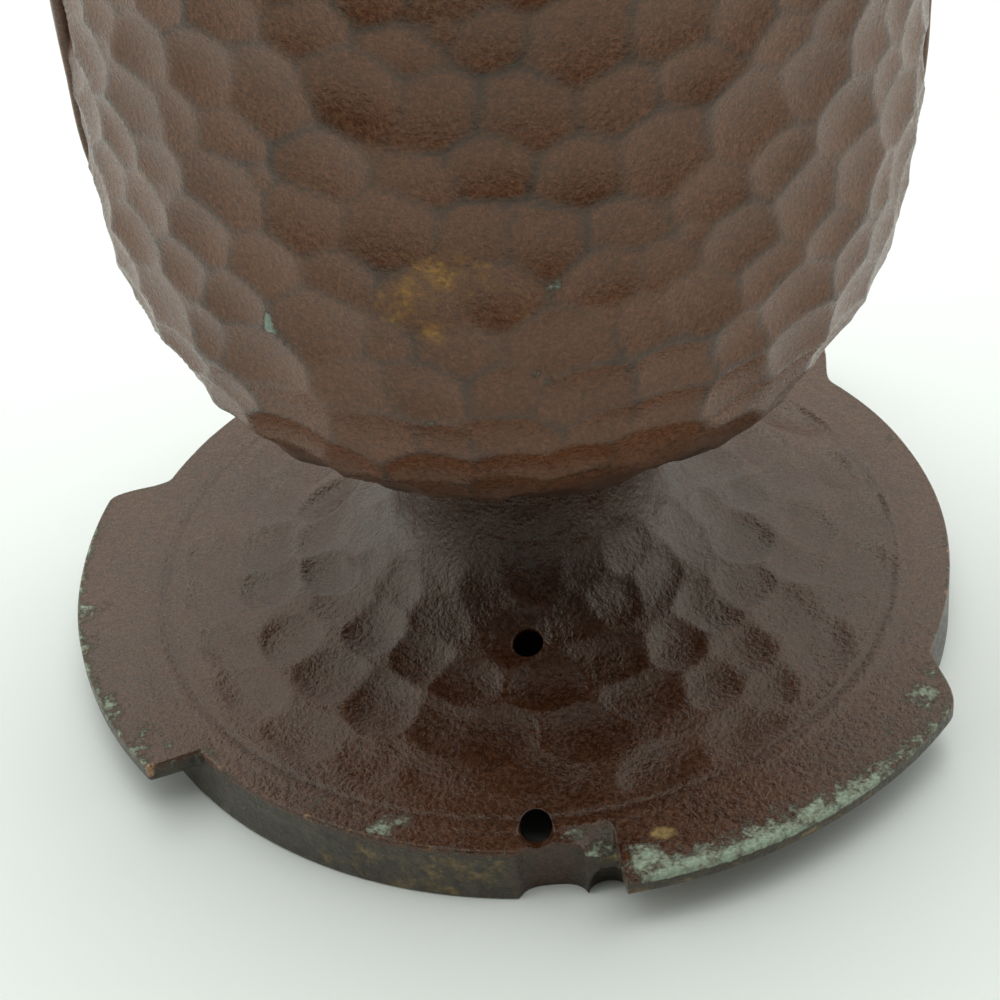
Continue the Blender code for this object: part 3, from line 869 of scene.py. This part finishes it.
def makeFoot():
    f = footShape
    azimuth = footColumns(f["columns"])
    rad = np.radians(azimuth)
    cols = len(azimuth)
    rimZ = f["coneTop"][-1][1]
    edgeR, lobed = edgeRadius(azimuth)
    edgeR = edgeR + np.array([
        0.16 * noise.noise(Vector((3.0 * math.cos(a), 3.0 * math.sin(a), 7.7))) for a in rad
    ])
    er = f["edgeRound"]

    # top: neck, cone and the start of the rim
    line = alongLine(curveThrough(f["coneTop"], 40), f["topRows"])
    reach = reachAlong(line)
    topR = np.repeat(line[:, :1], cols, 1)
    topZ = np.repeat(line[:, 1:], cols, 1)
    along = np.repeat(reach[:, None], cols, 1)
    azimuths = np.repeat(azimuth[None, :], len(line), 0)
    slopeR = np.gradient(line[:, 0])
    slopeZ = np.gradient(line[:, 1])
    length = np.hypot(slopeR, slopeZ)
    nr = (-slopeZ / length)[:, None]
    nz = (slopeR / length)[:, None]
    blows = footBlows(line, reach)
    dents = strike(np.zeros_like(along), azimuths, along, topR, blows, f["hammer"]["softness"])
    fromNeck, toRim = reach[:, None], reach[-1] - reach[:, None]
    keepOff = smoothStep((fromNeck - 3.0) / 6.0) * smoothStep((toRim - 1.6) / 1.5)
    dents = dents * keepOff
    ripple = lumps(np.stack([topR * np.cos(rad), topR * np.sin(rad), topZ], 2), 3.2, 0.16, 2)
    push = dents + 0.05 + ripple * keepOff
    groups = [(topR + nr * push, topZ + nz * push)]

    def ring(r, z):
        r = np.broadcast_to(np.asarray(r, float), (cols,))
        z = np.broadcast_to(np.asarray(z, float), (cols,))
        return r[None, :], z[None, :]

    startR = f["rimStartR"]
    for share in np.linspace(0.0, 1.0, f["rimRows"] + 1)[1:]:
        groups.append(ring(startR + (edgeR - er - startR) * share, rimZ))
    for swing in (30.0, 60.0, 90.0):
        s, c = math.sin(math.radians(swing)), math.cos(math.radians(swing))
        groups.append(ring(edgeR - er + er * s, rimZ - er + er * c))
    under = f["lobeUnderside"]
    for share in (0.2, 0.4, 0.6, 0.8, 1.0):
        groups.append(ring(edgeR, rimZ - er + (under + 0.3 - rimZ + er) * share))
    wallR = np.minimum(edgeR, f["skirtR"])
    for k, share in enumerate((0.0, 0.34, 0.67, 1.0)):
        r = (edgeR - 0.25 * lobed) * (1.0 - share) + wallR * share
        groups.append(ring(r, under - (1.0 - lobed) * 0.12 * k))
    for share in np.linspace(0.0, 1.0, 11)[1:]:
        groups.append(ring(wallR, (under - 0.45) * (1.0 - share) + er * share))
    insideR = f["skirtR"] - f["skirtWall"]
    neckR, neckZ = f["coneTop"][0]
    neckTop = neckZ + 0.9
    groups += [ring(r, z) for r, z in [
        (wallR - 0.3 * er, 0.3 * er), (wallR - er, 0.0), (insideR + 0.3, 0.0), (insideR, 0.3),
        (insideR, 2.2), *alongLine(curveThrough(f["coneUnderside"], 12), 18),
        (f["nutSeatR"], f["nutSeatZ"] - 0.15), (f["nutSeatR"] - 0.3, f["nutSeatZ"]),
        (f["boltHoleR"], f["nutSeatZ"]), (f["boltHoleR"], neckTop),
        (neckR - f["neckLip"], neckTop), (neckR - 0.15, neckTop - 0.35),
    ]]
    allR = np.vstack([g[0] for g in groups])
    allZ = np.vstack([g[1] for g in groups])
    points = np.stack([allR * np.cos(rad), allR * np.sin(rad), allZ], 2)

    # the turned line, off centre, and the slight unevenness of the rim
    work = f["rimWork"]
    upper = slice(0, len(line) + f["rimRows"] + 1)
    shiftX, shiftY = work["lineShift"]
    away = np.hypot(points[upper, :, 0] - shiftX, points[upper, :, 1] - shiftY) - work["lineR"]
    groove = -work["lineDepth"] * np.exp(-(away / work["lineWidth"]) ** 2)
    ridge = work["lineRidge"] * np.exp(-((away - 1.1) / 0.7) ** 2)
    inside = -0.16 * smoothStep(-away / 2.0) * smoothStep((away + 9.0) / 6.0)
    softRim = lumps(points[upper], 7.0, 0.10, 4) + lumps(points[upper], 2.2, 0.035, 6)
    points[upper, :, 2] += groove + ridge + inside + softRim * smoothStep((away + 3.0) / 3.0)
    wornWork(points, len(line))
    foot = gridPiece("foot_casting", points)
    faceOut(foot)
    paintFoot(foot, points, dents, groove, edgeR)
    wear(foot, patinaMaterial("foot_patina", f["patina"]))
    for number, hole in enumerate(f["drilled"]):
        drillHole(foot, hole, number)
    return foot


def wornWork(points, firstRim):
    # the scallop under the rim hole, the worn corner beside it and the scoop beneath that
    w = footShape["rimWork"]
    lean = math.tan(math.radians(w["scallopTilt"]))
    skirtR = footShape["skirtR"]
    x, y, z = points[:, :, 0], points[:, :, 1], points[:, :, 2]
    outside = np.hypot(x, y) > skirtR - 0.75 * footShape["skirtWall"]
    rimRows = np.zeros_like(x, bool)
    rimRows[firstRim - 12:firstRim + 44] = True
    nearFront = (y < -38.0) & (outside | (z > 6.0)) & rimRows

    worn = smoothStep((x - w["wornFrom"]) / 2.6) * smoothStep((w["wornTo"] - x) / 0.5)
    worn = worn * (np.hypot(x, y) < skirtR + 0.2)
    slopeZ = 7.2 + (y + w["wornStartR"]) * math.tan(math.radians(w["wornSlope"]))
    lower = np.minimum(z, slopeZ + 0.15 * np.sin(2.3 * x))
    z[:] = np.where(nearFront, z + (lower - z) * worn, z)

    # the scallop is a square-shouldered bite
    off = np.clip(np.abs(x - w["scallopX"]) / w["scallopHalf"], 0.0, 1.0)
    bite = (w["scallopDepth"] - z * lean) * (1.0 - off ** 3.2) ** 0.6
    face = -(skirtR - bite)
    y[:] = np.where(nearFront & (off < 1.0) & (y < face), face, y)

    # the scoop is an arch, open at the bottom
    off = np.clip(np.abs(x - w["scoopX"]) / w["scoopHalf"], 0.0, 1.0)
    arch = w["scoopTop"] * np.sqrt(1.0 - off ** 2)
    bite = w["scoopDepth"] * np.sqrt(1.0 - off ** 2) * smoothStep((arch - z) / 0.8)
    face = -(skirtR - bite)
    y[:] = np.where(nearFront & (off < 1.0) & (y < face) & (y > face - 3.0), face, y)


def drillHole(foot, hole, number):
    # cuts the hole right through with a cutter that widens where it comes out
    rise = math.radians(hole["rise"])
    out = polar(math.cos(rise), hole["azimuth"], math.sin(rise))
    centre = polar(hole["r"], hole["azimuth"], hole["z"])
    radius, flare = hole["radius"], hole["flare"]
    outline = [
        (0.0, 9.0), (radius + flare + 1.2, 9.0), (radius + flare + 0.4, 0.9),
        (radius + flare * 0.5, 0.15), (radius, -0.3), (radius, -9.0), (0.0, -9.0),
    ]
    cutter = turnedPiece(f"hole_cutter_{number}", outline, 72)
    closeOnAxis(cutter)
    turn = out.to_track_quat("Z", "Y").to_matrix().to_4x4()
    cutter.data.transform(Matrix.Translation(centre * mm) @ turn)
    cut = foot.modifiers.new("hole", "BOOLEAN")
    cut.operation = "DIFFERENCE"
    cut.solver = "MANIFOLD"
    cut.object = cutter
    bpy.context.view_layer.update()
    applied = bpy.data.meshes.new_from_object(
        foot.evaluated_get(bpy.context.evaluated_depsgraph_get())
    )
    foot.modifiers.clear()
    foot.data = applied
    bpy.data.objects.remove(cutter)


def spotMap(points, spots):
    strength = np.zeros(points.shape[:2])
    for azimuth, r, size, amount in spots:
        spot = polar(r, azimuth, 0.0)
        away = np.hypot(points[:, :, 0] - spot.x, points[:, :, 1] - spot.y) / size
        strength = np.maximum(strength, amount * np.exp(-0.5 * away ** 2))
    return strength


def paintFoot(foot, points, dents, groove, edgeR):
    x, y, z = points[:, :, 0], points[:, :, 1], points[:, :, 2]
    coneRows = dents.shape[0]
    work = footShape["rimWork"]
    r = np.hypot(x, y)
    azimuth = np.degrees(np.arctan2(y, x))
    below = (np.arange(r.shape[0])[:, None] > coneRows + footShape["rimRows"] + 3) & (r > 0)
    hollow = np.zeros(r.shape)
    hollow[:coneRows] = np.clip(-dents / 0.6, 0.0, 1.0) * 0.3
    lineRows = groove.shape[0]
    hollow[:lineRows] = np.maximum(hollow[:lineRows], -2.2 * groove)
    # painted shade: the cone darkens towards the neck, under the cup
    hollow[:coneRows] = np.maximum(hollow[:coneRows], 0.9 * smoothStep((27.0 - r[:coneRows]) / 14.0))
    scallop = np.exp(-((x - work["scallopX"]) / 3.2) ** 2) * smoothStep((-y - 44.3) / 1.2)
    recess = np.exp(-((x - work["scoopX"]) / 2.6) ** 2) * smoothStep((-y - 43.5) / 1.5)
    # painted shade on the skirt, the undersides and the inside of the foot, and a painted shadow in the
    # scoop beside the lobe's end; the scallop keeps less of it
    shade = np.maximum(1.0 * below, 0.75 * recess * (z < 7.0))
    shade = shade * (1.0 - 0.75 * np.clip(1.3 * scallop, 0.0, 1.0) * (z > 0.3))

    # crust is thickest on the rim's very edge
    fromEdge = np.clip(edgeR[None, :] - r, 0.0, None)
    outer = ~below & (r > 42.0)
    frontLobe = smoothStep((azimuth + 85.0) / 4.0) * smoothStep((-24.0 - azimuth) / 7.0)
    thickest = smoothStep((azimuth + 84.0) / 5.0) * smoothStep((-38.0 - azimuth) / 22.0)
    leftLobe = ((azimuth > 157.0) | (azimuth < -146.0)) * 1.0
    green = 0.56 * frontLobe * np.exp(-(fromEdge / 5.2) ** 2)
    green += 0.34 * thickest * np.exp(-(fromEdge / 2.2) ** 2)
    green = np.maximum(green, 0.66 * leftLobe * np.exp(-(fromEdge / 1.4) ** 2))
    green = np.maximum(green, 0.42 * np.exp(-(fromEdge / 0.9) ** 2))
    green = np.maximum(green, spotMap(points, footShape["greens"])) * outer
    green = np.where(below, 0.36 * (z > 0.4), green)
    rust = spotMap(points, footShape["rusts"]) * (z > 2.0)
    front = smoothStep((-y - 36.0) / 8.0)
    rust = np.maximum(rust, 0.46 * below * (z < 6.0) * (r > 46.0) * (0.4 + 0.6 * front))
    clean = 1.0 - np.clip(1.3 * scallop, 0.0, 1.0) * below
    green, rust = green * clean, rust * clean
    bare = np.zeros(r.shape)
    bare[outer & (fromEdge < 0.35)] = 0.72
    tip = polar(53.3, footShape["lobes"][0]["tip"], 6.0)
    nearTip = np.exp(-(np.hypot(x - tip.x, y - tip.y) / 1.1) ** 2)
    bare = np.maximum(bare, 1.0 * nearTip)
    bare = np.maximum(bare, 0.55 * (below & (z < 6.5) & (r > 47.0)))
    bare = np.maximum(bare, 0.8 * smoothStep((r - 12.0) / 0.8) * (z > 31.4))
    paintMaps(foot, r.shape, hollow=hollow, shade=shade, green=green, rust=rust, bare=bare)


pinShape = {
    "sides": 28,
    "radius": 0.75,
    "shoulderZ": 54.1,
    "tipZ": 58.1,
    "bottomZ": 41.4,
}

baseShape = {
    "sides": 220,
    "topRings": 84,
    "edgeInset": 1.3,
    "edgeRound": 0.9,
    "collarRoom": 0.45,      # the face lies this far below the box, for the collars to rise into
    "collarHeight": 0.42,
    "collarSpread": 0.42,
    "wellR": 7.5,            # the well underneath, clear of the bolt's head
    "wellZ": 39.7,
}

# colour, roughness, grain, metallic, tarnish
metals = {
    "pin_brass": ((0.62, 0.42, 0.16), 0.30, 1800.0, 1.0, (0.20, 0.13, 0.07)),
    "base_lead": ((0.17, 0.17, 0.17), 0.52, 1300.0, 0.65, (0.07, 0.075, 0.07)),
    "bolt_brass": ((0.50, 0.34, 0.14), 0.34, 1500.0, 1.0, (0.15, 0.10, 0.06)),
    "seal_rubber": ((0.018, 0.018, 0.018), 0.70, 1600.0, 0.0, (0.035, 0.034, 0.032)),
}


def pinCentres():
    # pins are read from the frame, so each new pin stands where its solid stands
    centres = {}
    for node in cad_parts:
        if node.startswith("pin_") and node[4:].isdigit():
            low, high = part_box(node)
            centres[node] = (low + high) / 2
    return centres


def makePins(material):
    p = pinShape
    r, tip = p["radius"], p["tipZ"]
    shoulder = p["shoulderZ"]
    outline = [
        (0.0, tip), (0.045, tip - 0.03), (0.10, tip - 0.22), (r * 0.55, shoulder + 1.45),
        (r * 0.86, shoulder + 0.45), (r, shoulder - 0.25), (r, shoulder - 0.8),
        (r, p["bottomZ"] + 0.1), (r - 0.1, p["bottomZ"]), (0.0, p["bottomZ"]),
    ]
    first = turnedPiece("pin_stock", outline, p["sides"])
    closeOnAxis(first)
    wear(first, material)
    mesh = first.data
    mesh.shade_smooth()
    bpy.data.objects.remove(first)
    for node, centre in sorted(pinCentres().items()):
        own = mesh.copy()
        own.transform(Matrix.Translation((centre.x, centre.y, 0.0)))
        pin = bpy.data.objects.new("brass_" + node, own)
        bpy.context.scene.collection.objects.link(pin)
        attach(pin, "pin_holder")
        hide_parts(node)


def makePinBase(material):
    # cast disc: a shallow collar of metal rises round each pin
    b = baseShape
    low, high = (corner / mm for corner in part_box("pin_base"))
    top, bottom, outR = high.z, low.z, high.x
    rings, sides = b["topRings"], b["sides"]
    angles = np.linspace(0.0, math.tau, sides, endpoint=False)
    faceR, faceZ = outR - b["edgeInset"], top - b["collarRoom"]
    swing = np.radians([20, 45, 70, 90])
    radii = np.concatenate([
        np.linspace(0.02, faceR, rings), faceR + b["edgeRound"] * np.sin(swing),
    ])
    heights = np.concatenate([
        np.full(rings, faceZ), faceZ - b["edgeRound"] * (1 - np.cos(swing)),
    ])
    wellR, wellZ = b["wellR"], b["wellZ"]
    side = [
        (outR, top - 1.9), (outR, 41.2), (outR - 0.15, 40.9), (23.7, bottom + 0.12),
        (23.3, bottom), (wellR + 0.2, bottom), (wellR, bottom + 0.15), (wellR, wellZ - 0.1),
        (wellR - 0.3, wellZ), (0.02, wellZ),
    ]
    allR = np.concatenate([radii, [s[0] for s in side]])
    allZ = np.concatenate([heights, [s[1] for s in side]])
    points = np.stack([
        allR[:, None] * np.cos(angles), allR[:, None] * np.sin(angles),
        np.repeat(allZ[:, None], sides, 1),
    ], 2)
    face = slice(0, rings)
    rise = np.zeros((rings, sides))
    for centre in pinCentres().values():
        away = np.hypot(points[face, :, 0] - centre.x / mm, points[face, :, 1] - centre.y / mm)
        collar = np.exp(-np.clip(away - 0.7, 0.0, None) / b["collarSpread"])
        rise = np.maximum(rise, b["collarHeight"] * collar)
    points[face, :, 2] += rise + lumps(points[face], 4.0, 0.05, 9)
    base = gridPiece("cast_base", points)
    faceOut(base)
    wear(base, material)
    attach(base, "pin_holder")
    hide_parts("pin_base")


studio = {
    "worldFront": 0.06,
    "worldBack": 0.95,
    "sides": 0.60,
    "glow": 1.45,
    "glowRise": 82.0,          # degrees above the horizon, behind the object
    "glowInner": 14.0,
    "glowOuter": 44.0,
    "sheetLight": -0.28,       # metres in front of the object, where the sheet starts to darken
    "sheetDark": -0.70,
    "sheetShadow": (0.26, 0.27, 0.265),
    "lamps": [                 # name, place, width and depth, power
        ("back_softbox", (0.0, 0.42, 0.70), (0.6, 0.35), 0.9),
    ],
}


def makeStudio():
    floorMaterial, tree = newMaterial("studio_floor")
    shader = tree.nodes["Principled BSDF"]
    tone = rampOut(tree, noiseOut(tree, 3.0, 2.0), 0.3, 0.7)
    paper = mixColour(tree, tone, (0.80, 0.825, 0.81), (0.82, 0.845, 0.83))

    # painted shadow: the sheet's colour darkens well in front of the object
    place = addNode(tree, "ShaderNodeTexCoord")
    split = addNode(tree, "ShaderNodeSeparateXYZ")
    joinTo(tree, place.outputs["Object"], split, "Vector")
    lit = rampOut(tree, split.outputs["Y"], studio["sheetDark"], studio["sheetLight"])
    joinTo(tree, mixColour(tree, lit, studio["sheetShadow"], paper), shader, "Base Color")
    shader.inputs["Roughness"].default_value = 0.6
    shader.inputs["Specular IOR Level"].default_value = 0.25
    bpy.ops.mesh.primitive_grid_add(x_subdivisions=8, y_subdivisions=8, size=8.0)
    floor = bpy.context.object
    floor.name = "studio_floor"
    wear(floor, floorMaterial)

    world = bpy.data.worlds.new("studio_world")
    bpy.context.scene.world = world
    world.use_nodes = True
    tree = world.node_tree
    background = tree.nodes["Background"]
    where = addNode(tree, "ShaderNodeTexCoord")
    split = addNode(tree, "ShaderNodeSeparateXYZ")
    joinTo(tree, where.outputs["Generated"], split, "Vector")
    front, back = studio["worldFront"], studio["worldBack"]
    fromBehind = rampOut(tree, split.outputs["Y"], -0.60, 0.10, front, back)
    towards = addNode(tree, "ShaderNodeVectorMath", operation="DOT_PRODUCT")
    joinTo(tree, where.outputs["Generated"], towards, 0)
    rise = math.radians(studio["glowRise"])
    towards.inputs[1].default_value = (0.0, math.cos(rise), math.sin(rise))
    near = math.cos(math.radians(studio["glowInner"]))
    far = math.cos(math.radians(studio["glowOuter"]))
    glow = rampOut(tree, towards.outputs["Value"], far, near, 0.0, studio["glow"])
    fromSide = mathOut(tree, "ABSOLUTE", split.outputs["X"], 0.0)
    sideways = rampOut(tree, fromSide, 0.45, 0.95, 0.0, studio["sides"])
    total = mathOut(tree, "ADD", mathOut(tree, "ADD", fromBehind, glow), sideways)
    joinTo(tree, total, background, "Strength")
    background.inputs["Color"].default_value = (0.965, 1.0, 0.955, 1.0)

    for name, place, size, power in studio["lamps"]:
        light = bpy.data.lights.new(name, "AREA")
        light.shape = "RECTANGLE"
        light.size, light.size_y = size
        light.energy = power
        light.color = (0.98, 1.0, 0.985)
        lamp = bpy.data.objects.new(name, light)
        lamp.location = place
        aim = Vector((0.0, 0.0, 0.04)) - Vector(place)
        lamp.rotation_euler = aim.to_track_quat("-Z", "Y").to_euler()
        bpy.context.scene.collection.objects.link(lamp)


view = {
    "place": (0.0, -0.268119, 0.233635),
    "pitch": 39.08,            # degrees below the horizon
    "yaw": -0.7585,
    "roll": -5.162,
    "lens": 108.0,
    "sensor": 36.0,
}


def makeCamera():
    bpy.context.scene.view_settings.view_transform = "Standard"
    pitch, yaw, roll = (math.radians(view[k]) for k in ("pitch", "yaw", "roll"))
    ahead = Vector((
        math.sin(yaw) * math.cos(pitch), math.cos(yaw) * math.cos(pitch), -math.sin(pitch),
    ))
    side = ahead.cross(Vector((0, 0, 1))).normalized()
    upward = side.cross(ahead)
    right = side * math.cos(roll) + upward * math.sin(roll)
    up = upward * math.cos(roll) - side * math.sin(roll)
    lens = bpy.data.cameras.new("camera")
    lens.lens = view["lens"]
    lens.sensor_width = view["sensor"]
    lens.clip_start = 0.01
    lens.clip_end = 50.0
    camera = bpy.data.objects.new("camera", lens)
    turn = Matrix((right, up, -ahead)).transposed().to_4x4()
    camera.matrix_world = Matrix.Translation(view["place"]) @ turn
    bpy.context.scene.collection.objects.link(camera)
    bpy.context.scene.camera = camera


makeCamera()
makeStudio()
print("studio ready")

cup = makeCup()
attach(cup, "vessel")
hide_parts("cup")
print("cup hammered")

binding = makeBinding()
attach(binding, "vessel")
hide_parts("mouth_binding")
print("mouth bound")

foot = makeFoot()
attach(foot, "vessel")
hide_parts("foot")
print("foot cast and drilled")

metal = {name: metalMaterial(name, *finish) for name, finish in metals.items()}
makePins(metal["pin_brass"])
makePinBase(metal["base_lead"])
for node in ("centre_bolt", "backing_washer", "foot_nut"):
    wear(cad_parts[node], metal["bolt_brass"])
wear(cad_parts["sealing_washer"], metal["seal_rubber"])
print("pin holder and fixings ready")
